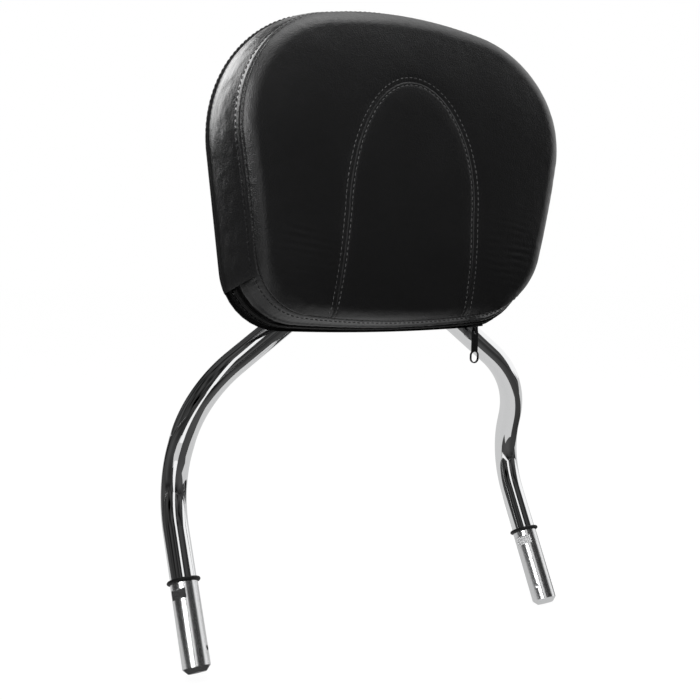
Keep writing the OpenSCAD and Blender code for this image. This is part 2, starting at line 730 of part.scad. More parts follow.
// Pull: a flat tab with an eye round the bail and an oval ring at its free end.
ring_w = 1.32 * pull_w;
ring_h = 1.7 * pull_w;
ring_wall = 1.2;
tab_w = 0.92 * pull_w;
eye_r = bail_d / 2 + 1;
eye_z = bail_d / 2 + 0.35 - eye_r;

module zip_pull() {
    color([0.12, 0.12, 0.12])
        translate([zip_c[0] + bail_r * cos(slider_a), zip_y, zip_c[1] + bail_r * sin(slider_a)])
        rotate([90, 0, 0]) linear_extrude(pull_t, center = true) difference() {
            union() {
                translate([0, eye_z]) circle(d = tab_w);
                translate([-tab_w / 2, ring_h / 2 - pull_l]) square([tab_w, pull_l - ring_h / 2 + eye_z]);
                oval(ring_w, ring_h);
            }
            translate([0, eye_z]) circle(r = eye_r);
            oval(ring_w - 2 * ring_wall, ring_h - 2 * ring_wall);
        }
}

// Upright oval round the middle of the pull's ring.
module oval(w, h) {
    middle = ring_h / 2 - pull_l;
    for (side = [-1, 1]) translate([0, middle + side * (h - w) / 2]) circle(d = w);
    translate([-w / 2, middle - (h - w) / 2]) square([w, h - w]);
}

frame_tube();
left_post();
right_post();
left_washer();
right_washer();
mounting_plate();
plate_screws();
screw_washers();
tee_nuts();
base_board();
foam_core();
center_panel();
front_panel();
side_boxing();
bottom_gusset();
back_panel();
front_zip_tape();
rear_zip_tape();
zip_teeth();
zip_end_stops();
zip_slider();
zip_pull();
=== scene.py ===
"""Studio picture of a motorbike passenger backrest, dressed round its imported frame.

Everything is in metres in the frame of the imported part: X runs across the bike, -Y is the side
that a back leans on, and Z runs up the cushion.
"""

from __future__ import annotations

import logging
import math
from dataclasses import dataclass
from enum import Enum
from typing import Callable, Sequence, TypeVar

import bpy
from mathutils import Matrix, Vector, noise
from mathutils.kdtree import KDTree

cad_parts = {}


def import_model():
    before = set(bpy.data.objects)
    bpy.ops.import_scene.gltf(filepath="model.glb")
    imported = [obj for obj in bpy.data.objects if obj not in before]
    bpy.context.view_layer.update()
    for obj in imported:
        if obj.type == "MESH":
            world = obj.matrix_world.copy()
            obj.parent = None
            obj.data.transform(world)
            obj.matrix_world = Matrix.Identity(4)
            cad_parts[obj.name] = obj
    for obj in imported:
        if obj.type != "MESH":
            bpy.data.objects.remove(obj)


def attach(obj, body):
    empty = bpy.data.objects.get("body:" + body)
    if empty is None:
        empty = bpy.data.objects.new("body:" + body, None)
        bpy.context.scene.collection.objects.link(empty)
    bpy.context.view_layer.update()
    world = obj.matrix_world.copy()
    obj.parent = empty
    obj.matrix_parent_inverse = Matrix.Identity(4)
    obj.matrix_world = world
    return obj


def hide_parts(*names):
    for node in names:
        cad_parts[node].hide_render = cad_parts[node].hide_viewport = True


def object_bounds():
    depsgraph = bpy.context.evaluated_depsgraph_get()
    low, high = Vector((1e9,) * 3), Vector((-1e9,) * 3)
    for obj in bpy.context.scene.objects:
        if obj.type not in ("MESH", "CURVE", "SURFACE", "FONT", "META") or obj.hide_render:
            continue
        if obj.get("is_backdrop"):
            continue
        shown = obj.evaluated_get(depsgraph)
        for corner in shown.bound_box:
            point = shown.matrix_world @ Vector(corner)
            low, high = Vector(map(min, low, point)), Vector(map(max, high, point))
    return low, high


log = logging.getLogger("backrest")
BODY = "backrest"
Row = list[Vector]
Part = TypeVar("Part")

# How far the front leather reaches out, and how far back, where it tucks in behind the rim.
TUCK = ((0.0002, 0.0004), (-0.0002, 0.0011), (-0.0012, 0.0016), (-0.003, 0.0018))
# Depths behind the surface to which the edge of a sewn strip turns in, deepest first.
HEM = (-0.0022, -0.0008)
# Steps behind the centre panel's bottom edge.
HEEL = (0.0011, 0.0018)


class Side(Enum):
    """The two halves of a symmetric piece."""

    LEFT = -1
    RIGHT = 1


class NodeTree:
    """A node tree, built node by node."""

    def __init__(self, tree: bpy.types.NodeTree) -> None:
        """Starts on a tree."""
        self.tree = tree

    def add(self, kind: str, settings: dict[str, object], sockets: dict[str | int, object]) -> bpy.types.Node:
        """Adds one node.

        Args:
            kind: the node's type.
            settings: its own settings, which are set first.
            sockets: values or wires for its inputs.

        Returns:
            The node.
        """
        node = self.tree.nodes.new(kind)
        for key, value in settings.items():
            setattr(node, key, value)
        self.feed(node, sockets)
        return node

    def feed(self, node: bpy.types.Node, sockets: dict[str | int, object]) -> None:
        """Sets or links inputs of a node."""
        for key, value in sockets.items():
            if isinstance(value, Wire):
                self.tree.links.new(value.socket, node.inputs[key])
            else:
                node.inputs[key].default_value = value

    def wire(self, kind: str, output: str | int, settings: dict[str, object],
             sockets: dict[str | int, object]) -> Wire:
        """Adds one node and takes one of its outputs."""
        return Wire(self, self.add(kind, settings, sockets).outputs[output])


class ShaderTree(NodeTree):
    """The node tree of a material or of the world."""

    def __init__(self, owner: bpy.types.Material | bpy.types.World) -> None:
        """Starts on the tree of its owner."""
        owner.use_nodes = True
        super().__init__(owner.node_tree)

    def noise(self, place: Wire, scale: float, detail: float = 4.0) -> Wire:
        """Noise of 0 to 1 at a scale, in waves per metre."""
        return self.wire("ShaderNodeTexNoise", "Fac", {}, {"Vector": place, "Scale": scale, "Detail": detail})


class Wire:
    """One output of a node, with arithmetic, so that a tree reads like a formula."""

    def __init__(self, nodes: NodeTree, socket: bpy.types.NodeSocket) -> None:
        """Wraps a socket of a tree."""
        self.nodes = nodes
        self.socket = socket

    def _math(self, operation: str, left: Wire | float, right: Wire | float) -> Wire:
        """Adds a Math node on two values."""
        return self.nodes.wire("ShaderNodeMath", 0, {"operation": operation}, {0: left, 1: right})

    def __add__(self, other: Wire | float) -> Wire:
        """Sum."""
        return self._math("ADD", self, other)

    def __radd__(self, other: float) -> Wire:
        """Sum with a number on the left."""
        return self._math("ADD", other, self)

    def __sub__(self, other: Wire | float) -> Wire:
        """Difference."""
        return self._math("SUBTRACT", self, other)

    def __rsub__(self, other: float) -> Wire:
        """Difference from a number."""
        return self._math("SUBTRACT", other, self)

    def __mul__(self, other: Wire | float) -> Wire:
        """Product."""
        return self._math("MULTIPLY", self, other)

    def __rmul__(self, other: float) -> Wire:
        """Product with a number on the left."""
        return self._math("MULTIPLY", other, self)


@dataclass(frozen=True)
class Finish:
    """A surface finish: colour, gloss, and how its colour, gloss and relief vary."""

    name: str
    color: tuple[float, float, float]
    roughness: float
    metallic: float = 0.0
    coat: float = 0.0
    specular: float = 0.5
    worn: tuple[float, float, float] | None = None
    grain_scale: float = 0.0
    grain_depth: float = 0.0
    crease_scale: float = 0.0
    crease_depth: float = 0.0
    patch_scale: float = 14.0
    patchy: float = 0.0

    def build(self) -> bpy.types.Material:
        """Makes the material.

        Returns:
            A Principled material whose variation follows object coordinates.
        """
        material = bpy.data.materials.new(self.name)
        shade = ShaderTree(material)
        surface = shade.tree.nodes["Principled BSDF"]
        shade.feed(surface, {"Base Color": (*self.color, 1.0), "Roughness": self.roughness,
                             "Metallic": self.metallic, "Coat Weight": self.coat, "Coat Roughness": 0.28,
                             "Specular IOR Level": self.specular})
        place = shade.wire("ShaderNodeTexCoord", "Object", {}, {})
        patches = shade.noise(place, self.patch_scale)
        if self.patchy:
            shade.feed(surface, {"Roughness": self.roughness + self.patchy * (patches - 0.5)})
        if self.worn:
            tint = shade.wire("ShaderNodeMix", 2, {"data_type": "RGBA"},
                              {0: patches, 6: (*self.color, 1.0), 7: (*self.worn, 1.0)})
            shade.feed(surface, {"Base Color": tint})
        if self.grain_depth:
            shade.feed(surface, {"Normal": self._relief(shade, place)})
        return material

    def _relief(self, shade: ShaderTree, place: Wire) -> Wire:
        """Bump from fine cells over a slow crease pattern.

        Args:
            shade: the material's tree.
            place: the coordinates that the pattern follows.

        Returns:
            The normal.
        """
        cells = shade.wire("ShaderNodeTexVoronoi", "Distance", {},
                           {"Vector": place, "Scale": self.grain_scale})
        height = self.grain_depth * cells
        if self.crease_depth:
            height = height + self.crease_depth * shade.noise(place, self.crease_scale)
        return shade.wire("ShaderNodeBump", "Normal", {}, {"Height": height, "Distance": 1.0})


CHROME = Finish("chrome_plate", (0.88, 0.885, 0.89), 0.045, metallic=1.0, patch_scale=30.0, patchy=0.03)
STEEL = Finish("polished_steel", (0.78, 0.785, 0.79), 0.17, metallic=1.0, patch_scale=60.0, patchy=0.06)
POST_STEEL = Finish("post_steel", (0.78, 0.785, 0.79), 0.24, metallic=1.0, patch_scale=60.0, patchy=0.06)
RUBBER = Finish("rubber_black", (0.016, 0.016, 0.016), 0.62, patchy=0.1, grain_scale=1500.0,
                grain_depth=0.00008)
BRASS = Finish("brass_satin", (0.72, 0.54, 0.24), 0.3, metallic=1.0, patchy=0.1)
PLYWOOD = Finish("plywood_bare", (0.5, 0.36, 0.22), 0.7, worn=(0.42, 0.29, 0.17), grain_scale=300.0,
                 grain_depth=0.0001)
FOAM = Finish("foam_grey", (0.05, 0.05, 0.052), 0.95, worn=(0.035, 0.035, 0.036), grain_scale=700.0,
              grain_depth=0.0003)
LEATHER = Finish("leather_black", (0.0095, 0.0095, 0.01), 0.35, coat=0.2, worn=(0.0135, 0.0135, 0.014),
                 grain_scale=900.0, grain_depth=0.00016, crease_scale=60.0, crease_depth=0.0005, patchy=0.1)
LEATHER_SIDE = Finish("leather_side", (0.0095, 0.0095, 0.01), 0.38, coat=0.2,
                      worn=(0.014, 0.014, 0.0145), grain_scale=900.0, grain_depth=0.00016,
                      crease_scale=90.0, crease_depth=0.0007, patchy=0.1)
THREAD_GREY = Finish("thread_grey", (0.17, 0.17, 0.17), 0.7, worn=(0.1, 0.1, 0.1), patch_scale=120.0)
THREAD_BLACK = Finish("thread_black", (0.01, 0.01, 0.01), 0.5)
TAPE = Finish("zip_tape_weave", (0.011, 0.011, 0.011), 0.85, grain_scale=1800.0, grain_depth=0.0002)
TEETH = Finish("zip_teeth_black", (0.04, 0.04, 0.042), 0.3)
ENAMEL = Finish("zip_metal_black", (0.022, 0.022, 0.024), 0.24, coat=0.5, patchy=0.08)

CAD_FINISHES = {
    "left_post": POST_STEEL, "right_post": POST_STEEL, "left_washer": RUBBER, "right_washer": RUBBER,
    "mounting_plate": CHROME, "plate_screws": STEEL, "screw_washers": STEEL, "tee_nuts": BRASS,
    "base_board": PLYWOOD, "foam_core": FOAM, "front_zip_tape": TAPE,
    "rear_zip_tape": TAPE, "zip_teeth": TEETH, "zip_end_stops": STEEL, "zip_slider": ENAMEL,
    "zip_pull": ENAMEL,
}


class Palette:
    """Builds each finish once."""

    def __init__(self) -> None:
        """Starts with no materials."""
        self._made: dict[str, bpy.types.Material] = {}

    def get(self, finish: Finish) -> bpy.types.Material:
        """The material of a finish."""
        if finish.name not in self._made:
            self._made[finish.name] = finish.build()
        return self._made[finish.name]


def sheet_mesh(name: str, rows: Sequence[Row], material: bpy.types.Material) -> bpy.types.Object:
    """Makes a smooth mesh over a grid of points.

    Args:
        name: the piece's name.
        rows: rows of points, all of one length.
        material: the finish.

    Returns:
        The new object.
    """
    width = len(rows[0])
    verts = [p for row in rows for p in row]
    faces = [(i * width + j, i * width + j + 1, (i + 1) * width + j + 1, (i + 1) * width + j)
             for i in range(len(rows) - 1) for j in range(width - 1)]
    mesh = bpy.data.meshes.new(name)
    mesh.from_pydata(verts, [], faces)
    mesh.polygons.foreach_set("use_smooth", [True] * len(faces))
    mesh.materials.append(material)
    piece = bpy.data.objects.new(name, mesh)
    bpy.context.scene.collection.objects.link(piece)
    return piece


def smooth_step(a: float, b: float, x: float) -> float:
    """0 below a, 1 above b, and smooth between them."""
    t = min(max((x - a) / (b - a), 0.0), 1.0)
    return t * t * (3 - 2 * t)


def both_halves(last: int, over: bool, make: Callable[[int, Side], Part]) -> list[Part]:
    """Makes something at each station of both halves, in order.

    Args:
        last: number of the last station of a half.
        over: whether the halves meet at station 0, or else at the last one.
        make: makes it from a station's number and a side.

    Returns:
        What was made, from one end to the other.
    """
    right = [(i, Side.RIGHT) for i in range(last + 1)]
    if over:
        order = [(i, Side.LEFT) for i in range(last, 0, -1)] + right
    else:
        order = right + [(i, Side.LEFT) for i in range(last - 1, -1, -1)]
    return [make(i, side) for i, side in order]


@dataclass(frozen=True)
class Outline:
    """A cushion outline: two corners on each side, joined by wide arcs and straights."""

    upper: tuple[float, float, float]
    lower: tuple[float, float, float]
    top: float
    bottom: float

    def arcs(self) -> list[tuple[float, float, float, float, float]]:
        """The stretches of the right half, as centre x and z, radius, and two normal angles."""
        ux, uz, ur = self.upper
        lx, lz, lr = self.lower
        rise, fall = self.top - uz, lz - self.bottom
        top_r = (ux * ux + rise * rise - ur * ur) / (2 * (rise - ur))
        low_r = (lx * lx + fall * fall - lr * lr) / (2 * (fall - lr))
        top_z, low_z = self.top - top_r, self.bottom + low_r
        top_turn = math.atan2(uz - top_z, ux)
        low_turn = math.atan2(lz - low_z, lx)
        side = math.atan2(lz - uz, lx - ux) + math.acos((ur - lr) / math.hypot(lx - ux, lz - uz))
        return [(0.0, top_z, top_r, math.pi / 2, top_turn), (ux, uz, ur, top_turn, side),
                (lx, lz, lr, side, low_turn), (0.0, low_z, low_r, low_turn, -math.pi / 2)]

    def at(self, stretch: int, share: float, off: float = 0.0) -> tuple[float, float, float]:
        """A place on the outline.

        Args:
            stretch: 0 to 4, where 2 is the straight side.
            share: how far along the stretch.
            off: distance outside the outline.

        Returns:
            x, z and the angle of the outward normal.
        """
        arcs = self.arcs()
        if stretch == 2:
            (ax, az, ar, _, turn), (bx, bz, br, _, _) = arcs[1], arcs[2]
            x = ax + (bx - ax) * share + (ar + (br - ar) * share + off) * math.cos(turn)
            z = az + (bz - az) * share + (ar + (br - ar) * share + off) * math.sin(turn)
            return x, z, turn
        cx, cz, r, start, end = arcs[stretch if stretch < 2 else stretch - 1]
        turn = start + (end - start) * share
        return cx + (r + off) * math.cos(turn), cz + (r + off) * math.sin(turn), turn


@dataclass(frozen=True)
class CushionShape:
    """Sizes of the cushion, the same ones as in the part's source."""

    centre_z: float = 0.338
    seam_y: float = 0.057
    back_y: float = -0.0089
    skin: float = 0.0018
    crown: float = 0.005
    crown_reach: float = 0.07
    wrap: float = 0.003
    lumbar: float = 0.0085
    roll_w: float = 0.0115
    roll_drop: float = 0.0042
    shoe_x: float = 0.061
    shoe_top: float = 0.075
    shoe_side: float = 0.032
    shoe_splay: float = 0.005
    swell: float = 0.002
    ridge: float = 0.0011
    gusset_turn: float = math.radians(24.9)
    front: Outline = Outline((0.055, 0.030, 0.095), (0.080, -0.0595, 0.0575), 0.131, -0.1225)
    rear: Outline = Outline((0.055, 0.024, 0.106), (0.096, -0.078, 0.054), 0.136, -0.1345)

    def stations(self, count: int) -> list[tuple[int, float]]:
        """Places spread evenly over the right half, from the top to the bottom.

        Args:
            count: about how many places.

        Returns:
            Pairs of stretch and share.
        """
        arcs = self.front.arcs()
        straight = math.hypot(arcs[2][0] - arcs[1][0], arcs[2][1] - arcs[1][1])
        lengths = [a[2] * abs(a[4] - a[3]) for a in arcs]
        lengths.insert(2, straight)
        places = [(i, k / max(2, round(count * run / sum(lengths))))
                  for i, run in enumerate(lengths) for k in range(max(2, round(count * run / sum(lengths))))]
        return [*places, (4, 1.0)]

    def bow(self, x: float, z: float) -> float:
        """Y of the bent sheet through the front seam."""
        return -self.seam_y - self.wrap * (x / 0.1) ** 2 + self.lumbar * (z / 0.1) ** 2

    def seam_gap(self, x: float, z: float) -> float:
        """Distance inside the front seam, zero on it."""
        top, upper_arc, lower_arc, bottom = self.front.arcs()
        (tx, tz, tr, _, top_turn), (ux, uz, ur, _, side) = top, upper_arc
        (lx, lz, lr, _, low), (bx, bz, br, _, _) = lower_arc, bottom
        x = abs(x)
        gap = min(tr - math.hypot(x - tx, z - tz), br - math.hypot(x - bx, z - bz),
                  ur - (x - ux) * math.cos(side) - (z - uz) * math.sin(side))
        upper, lower = math.atan2(z - uz, x - ux), math.atan2(z - lz, x - lx)
        if side < upper < top_turn:
            gap = min(gap, ur - math.hypot(x - ux, z - uz))
        elif low < lower < side:
            gap = min(gap, lr - math.hypot(x - lx, z - lz))
        return max(gap, 0.0)

    def face(self, x: float, z: float) -> float:
        """Y of the plain front face."""
        gap = self.seam_gap(x, z)
        full, edge = min(gap / self.crown_reach, 1.0), max(1 - gap / self.roll_w, 0.0)
        plain_face = self.bow(x, z) - self.roll_drop - self.crown * (1 - (1 - full) ** 2)
        return plain_face + self.roll_drop * edge ** 2

    def shoe(self, t: float, off: float = 0.0) -> tuple[float, float]:
        """Place on the right half of the horseshoe seam.

        Args:
            t: 0 at the top, 0.5 at the widest place, 1 at the bottom seam.
            off: distance outside the seam.

        Returns:
            x and z.
        """
        if t <= 0.5:
            turn = math.pi / 2 * (1 - 2 * t)
            tall = self.shoe_top + self.shoe_side
            return (self.shoe_x + off) * math.cos(turn), -self.shoe_side + (tall + off) * math.sin(turn)
        f = 2 * t - 1
        x = self.shoe_x + self.shoe_splay * f
        _, low_z, low_r, _, _ = self.front.arcs()[3]
        foot = low_r_depth(low_z, low_r, x)
        return x + off, -(self.shoe_side + (foot - self.shoe_side) * f)

    def wall(self, place: tuple[int, float], share: float, height: float) -> Vector:
        """Point on the boxing.

        Args:
            place: station on the outline.
            share: 0 at the front seam, 1 at the back panel.
            height: distance outside the plain surface.

        Returns:
            The point, on the right half.
        """
        fx, fz, ft = self.front.at(*place)
        rx, rz, rt = self.rear.at(*place)
        turn = ft + (rt - ft) * share
        start = self.bow(fx, fz) + self.skin
        return Vector((fx + (rx - fx) * share + height * math.cos(turn),
                       start + (self.back_y - self.skin - start) * share,
                       self.centre_z + fz + (rz - fz) * share + height * math.sin(turn)))


def low_r_depth(centre: float, radius: float, x: float) -> float:
    """Depth of an arc's lower side below the centre of the cushion, at x."""
    return math.sqrt(radius * radius - x * x) - centre


@dataclass(frozen=True)
class Stitching:
    """A row of stitches: pitch, length and thickness of one stitch."""

    pitch: float = 0.0045
    length: float = 0.0031
    radius: float = 0.00036

    def lay(self, name: str, path: Row, material: bpy.types.Material) -> bpy.types.Object:
        """Lays stitches along a path with a Geometry Nodes tree.

        Args:
            name: the piece's name.
            path: points of the row.
            material: the thread.

        Returns:
            A plain mesh of all the stitches.
        """
        curve = bpy.data.curves.new(name + "_path", "CURVE")
        curve.dimensions = "3D"
        spline = curve.splines.new("POLY")
        spline.points.add(len(path) - 1)
        for point, place in zip(spline.points, path):
            point.co = (*place, 1.0)
        guide = bpy.data.objects.new(name + "_guide", curve)
        bpy.context.scene.collection.objects.link(guide)
        tree, ids = self._tree(name, material)
        modifier = guide.modifiers.new("stitches", "NODES")
        modifier.node_group = tree
        for key, value in (("Pitch", self.pitch), ("Length", self.length), ("Radius", self.radius)):
            modifier[ids[key]] = value
        bpy.context.view_layer.update()
        graph = bpy.context.evaluated_depsgraph_get()
        mesh = bpy.data.meshes.new_from_object(guide.evaluated_get(graph))
        guide.modifiers.clear()
        bpy.data.objects.remove(guide)
        mesh.name = name
        piece = bpy.data.objects.new(name, mesh)
        bpy.context.scene.collection.objects.link(piece)
        return piece

    @staticmethod
    def _tree(name: str, material: bpy.types.Material) -> tuple[bpy.types.NodeTree, dict[str, str]]:
        """Builds the tree that instances one stitch at each pitch of a curve.

        Args:
            name: the tree's name.
            material: the thread.

        Returns:
            The tree and the identifiers of its inputs by name.
        """
        tree = bpy.data.node_groups.new(name + "_nodes", "GeometryNodeTree")
        face = tree.interface
        face.new_socket("Geometry", in_out="INPUT", socket_type="NodeSocketGeometry")
        ids = {key: face.new_socket(key, in_out="INPUT", socket_type="NodeSocketFloat").identifier
               for key in ("Pitch", "Length", "Radius")}
        face.new_socket("Geometry", in_out="OUTPUT", socket_type="NodeSocketGeometry")
        nodes = NodeTree(tree)
        given = nodes.add("NodeGroupInput", {}, {})
        path, pitch, length, radius = (Wire(nodes, given.outputs[key])
                                       for key in ("Geometry", "Pitch", "Length", "Radius"))
        points = nodes.add("GeometryNodeCurveToPoints", {"mode": "LENGTH"}, {"Curve": path, "Length": pitch})
        ball = nodes.wire("GeometryNodeMeshUVSphere", "Mesh", {}, {"Segments": 8, "Rings": 6, "Radius": 1.0})
        size = nodes.wire("ShaderNodeCombineXYZ", 0, {}, {"X": 0.5 * length, "Y": radius, "Z": radius})
        stitch = nodes.wire("GeometryNodeTransform", "Geometry", {}, {"Geometry": ball, "Scale": size})
        turn = nodes.wire("FunctionNodeAlignRotationToVector", 0, {"axis": "X"},
                          {"Vector": Wire(nodes, points.outputs["Tangent"])})
        copies = nodes.wire("GeometryNodeInstanceOnPoints", 0, {}, {
            "Points": Wire(nodes, points.outputs["Points"]), "Instance": stitch, "Rotation": turn})
        real = nodes.wire("GeometryNodeRealizeInstances", 0, {}, {0: copies})
        dressed = nodes.wire("GeometryNodeSetMaterial", 0, {}, {"Geometry": real, "Material": material})
        nodes.add("NodeGroupOutput", {}, {0: dressed})
        return tree, ids


@dataclass
class LeatherCover:
    """The sewn leather cover: front band, centre panel, boxing, bottom gusset and their stitches."""

    shape: CushionShape
    palette: Palette
    seam_rows: float = 0.003
    seam_depth: float = 0.0006
    seam_w: float = 0.0012
    dip_depth: float = 0.0008
    dip_w: float = 0.008
    row_depth: float = 0.0003
    row_w: float = 0.0007
    ripple: float = 0.00045
    gather: float = 0.00022
    gather_reach: float = 0.014
    fold: float = 0.00034
    fold_at: tuple[float, float] = (0.098, -0.062)
    fold_spread: tuple[float, float] = (0.026, 0.028)
    seam_samples: int = 401
    ridge_w: float = 0.025
    stitch_inset: float = 0.035
    thread_lift: float = 0.0001
    front_ridge: float = 0.17
    rear_ridge: float = 0.915
    gusset_end: float = 0.535

    def __post_init__(self) -> None:
        """Samples the horseshoe seam, from which the relief measures."""
        self.tree = KDTree(2 * self.seam_samples)
        for i in range(self.seam_samples):
            x, z = self.shape.shoe(i / (self.seam_samples - 1))
            for side in Side:
                self.tree.insert((side.value * x, 0.0, z), 2 * i + (side.value > 0))
        self.tree.balance()

    def relief(self, x: float, z: float) -> float:
        """How far the front leather lies behind its plain face.

        Args:
            x: sideways place.
            z: height above the cushion's centre.

        Returns:
            Depth, from the seam's groove, its stitched rows, folds and ripples.
        """
        gap = self.tree.find((x, 0.0, z))[2]
        groove = self.seam_depth * math.exp(-(gap / self.seam_w) ** 2)
        groove += self.dip_depth * math.exp(-(gap / self.dip_w) ** 2)
        row = self.row_depth * math.exp(-((gap - self.seam_rows) / self.row_w) ** 2)
        near = math.exp(-self.shape.seam_gap(x, z) / self.gather_reach)
        slow = noise.noise(Vector((x, z, 0.3)) * 22) * self.ripple
        gathers = near * noise.noise(Vector((x * 170, z * 170, 4.0))) * self.gather
        (fx, fz), (wx, wz) = self.fold_at, self.fold_spread
        patch = math.exp(-((abs(x) - fx) / wx) ** 2 - ((z - fz) / wz) ** 2)
        bend = noise.noise(Vector((x * 30, z * 30, 2.0))) * 3
        uneven = 0.5 + noise.noise(Vector((x * 60, z * 90, 8.0)))
        folds = patch * self.fold * math.sin(z * 1000 + x * 130 + bend) * uneven
        return groove + row + slow + gathers + folds

    def front_point(self, x: float, z: float, drop: float = 0.0) -> Vector:
        """Point of the front leather, drop behind it."""
        s = self.shape
        return Vector((x, s.face(x, z) + self.relief(x, z) + drop, s.centre_z + z))

    def band(self, stations: int, steps: int) -> bpy.types.Object:
        """The horseshoe-shaped front band, from the seam to the rim and tucked in behind it."""
        s = self.shape
        foot = next(i for i, p in enumerate(s.stations(stations)) if p[0] == 4)
        places = s.stations(stations)[:foot + 1]

        def row(i: int, side: Side) -> Row:
            """Points of one station from the seam to the rim."""
            ix, iz = s.shoe(i / (len(places) - 1))
            ox, oz, turn = s.front.at(*places[i])
            shares = [math.sin(math.pi / 2 * k / steps) * 0.5 + 0.5 * k / steps for k in range(steps + 1)]
            line = [self.front_point(side.value * (ix + (ox - ix) * f), iz + (oz - iz) * f) for f in shares]
            lip = s.front.at(*places[i], 0.0)
            y = s.bow(lip[0], lip[1])
            return line + [Vector((side.value * (lip[0] + o * math.cos(turn)), y + d,
                                   s.centre_z + lip[1] + o * math.sin(turn))) for o, d in TUCK]

        rows = both_halves(len(places) - 1, True, row)
        return sheet_mesh("leather_band", rows, self.palette.get(LEATHER))

    def centre(self, rows: int, columns: int) -> bpy.types.Object:
        """The panel inside the horseshoe, down to the bottom seam."""
        s = self.shape
        _, low_z, low_r, _, _ = s.front.arcs()[3]
        grid: list[Row] = []
        for i in range(rows + 1):
            t = max((i / rows) ** 0.8, 0.012)
            half, z = s.shoe(t)
            xs = [half * math.sin(math.pi * c / columns) for c in range(-columns // 2, columns // 2 + 1)]
            grid.append([self.front_point(x, z - t ** 8 * (low_r_depth(low_z, low_r, x) + z) if i == rows
                                          else z) for x in xs])
        for depth in HEEL:
            grid.append([p + Vector((0, depth, 0.0)) for p in grid[rows]])
        return sheet_mesh("leather_centre", grid, self.palette.get(LEATHER))

    def ridge_end(self, share: float) -> float:
        """1 on the sewn front ridge and 0 behind it."""
        return 1 - smooth_step(self.front_ridge - self.ridge_w, self.front_ridge, share)

    def side_profile(self, share: float, t: float) -> float:
        """Height of the side boxing above its plain surface."""
        s = self.shape
        ridge = s.ridge * smooth_step(0.0, 0.03, share) * self.ridge_end(share)
        along = min(max((share - self.rear_ridge) / (1 - self.rear_ridge), 0.0), 1.0)
        rear = 1.4 * s.ridge * math.sqrt(math.sin(math.pi * along))
        puff = s.swell * math.sin(math.pi * min(max((share - 0.17) / 0.75, 0), 1)) ** 0.7
        wave = noise.noise(Vector((t * 26, share * 5, 1.0))) * 0.0004 * math.sin(math.pi * share)
        wave += noise.noise(Vector((t * 40, share * 22, 3.0))) * 0.00012 * math.sin(math.pi * share)
        pucker = noise.noise(Vector((t * 260, share * 3, 7.0))) * 0.0002 * math.exp(-abs(share - 0.19) / 0.05)
        return ridge + rear + puff + wave + pucker

    def gusset_profile(self, share: float, t: float) -> float:
        """Height of the bottom gusset above its plain surface."""
        low = 0.8 * self.shape.ridge
        ridge = low * smooth_step(0.0, 0.05, share) * self.ridge_end(share)
        fold = 1.1 * low * smooth_step(self.gusset_end - 0.1, self.gusset_end - 0.06, share)
        return ridge + fold + noise.noise(Vector((t * 70, share * 3, 11.0))) * 0.0003

    def strip(self, name: str, places: Sequence[tuple[int, float]], over: bool, end: float,
              profile: Callable[[float, float], float], steps: int) -> bpy.types.Object:
        """Makes a strip of the boxing on both halves.

        Args:
            name: the piece's name.
            places: stations of the right half, in order.
            over: whether the halves meet at the top, or else at the bottom.
            end: share of the depth at which the strip ends.
            profile: height by share and place.
            steps: steps across the strip.

        Returns:
            The new object.
        """
        def row(i: int, side: Side) -> Row:
            """Points of one station from front to rear."""
            t = side.value * (i + 1) / len(places)
            line = [(0.0, depth) for depth in HEM]
            line += [(end * k / steps, profile(end * k / steps, t)) for k in range(steps + 1)]
            line += [(end, HEM[1]), (end - 0.01, HEM[0])]
            points = [self.shape.wall(places[i], share, h) for share, h in line]
            return [Vector((side.value * p.x, p.y, p.z)) for p in points]

        rows = both_halves(len(places) - 1, over, row)
        return sheet_mesh(name, rows, self.palette.get(LEATHER_SIDE))

    def wall_row(self, places: Sequence[tuple[int, float]], over: bool, share: float,
                 profile: Callable[[float, float], float]) -> Row:
        """Path on the boxing at a share of its depth, over both halves."""
        def point(i: int, side: Side) -> Vector:
            """One point of the path."""
            t = side.value * (i + 1) / len(places)
            p = self.shape.wall(places[i], share, profile(share, t) + self.thread_lift)
            return Vector((side.value * p.x, p.y, p.z))

        return both_halves(len(places) - 1, over, point)

    def rear(self, rings: int) -> bpy.types.Object:
        """The flat rear panel, drawn in at its edge and rippled, with its middle against the board."""
        s = self.shape
        places = s.stations(60)
        edge = [s.rear.at(*p) for p in places]
        loop = [(x, z) for x, z, _ in edge] + [(-x, z) for x, z, _ in reversed(edge[1:-1])]
        rows: list[Row] = []
        for i in range(rings + 1):
            f = (1 - i / rings) ** 0.7
            row: Row = []
            for x, z in loop + loop[:1]:
                inset = (1 - f) * math.hypot(x, z)
                free = smooth_step(0.06, 0.14, f * math.hypot(x, z + 0.03))
                puff = 0.0009 * smooth_step(0.0, 0.012, inset) * free
                ripple = noise.noise(Vector((f * x * 24, f * z * 24, 5.0))) * 0.0004 * free
                roll = -0.0012 * (1 - smooth_step(0.0, 0.006, inset))
                row.append(Vector((f * x, s.back_y - 0.0001 + roll + puff + ripple, s.centre_z + f * z)))
            rows.append(row)
        rim = [p - Vector((0.0, 0.0012, 0.0)) for p in rows[0]]
        return sheet_mesh("leather_rear", [rim, *rows], self.palette.get(LEATHER_SIDE))

    def shoe_row(self, off: float) -> Row:
        """Path of a stitch row beside the horseshoe seam."""
        places = [(Side.LEFT, i) for i in range(199, 0, -1)] + [(Side.RIGHT, i) for i in range(200)]
        path: Row = []
        for side, i in places:
            x, z = self.shape.shoe(i / 200, off)
            path.append(self.front_point(side.value * x, z, -self.thread_lift))
        return path

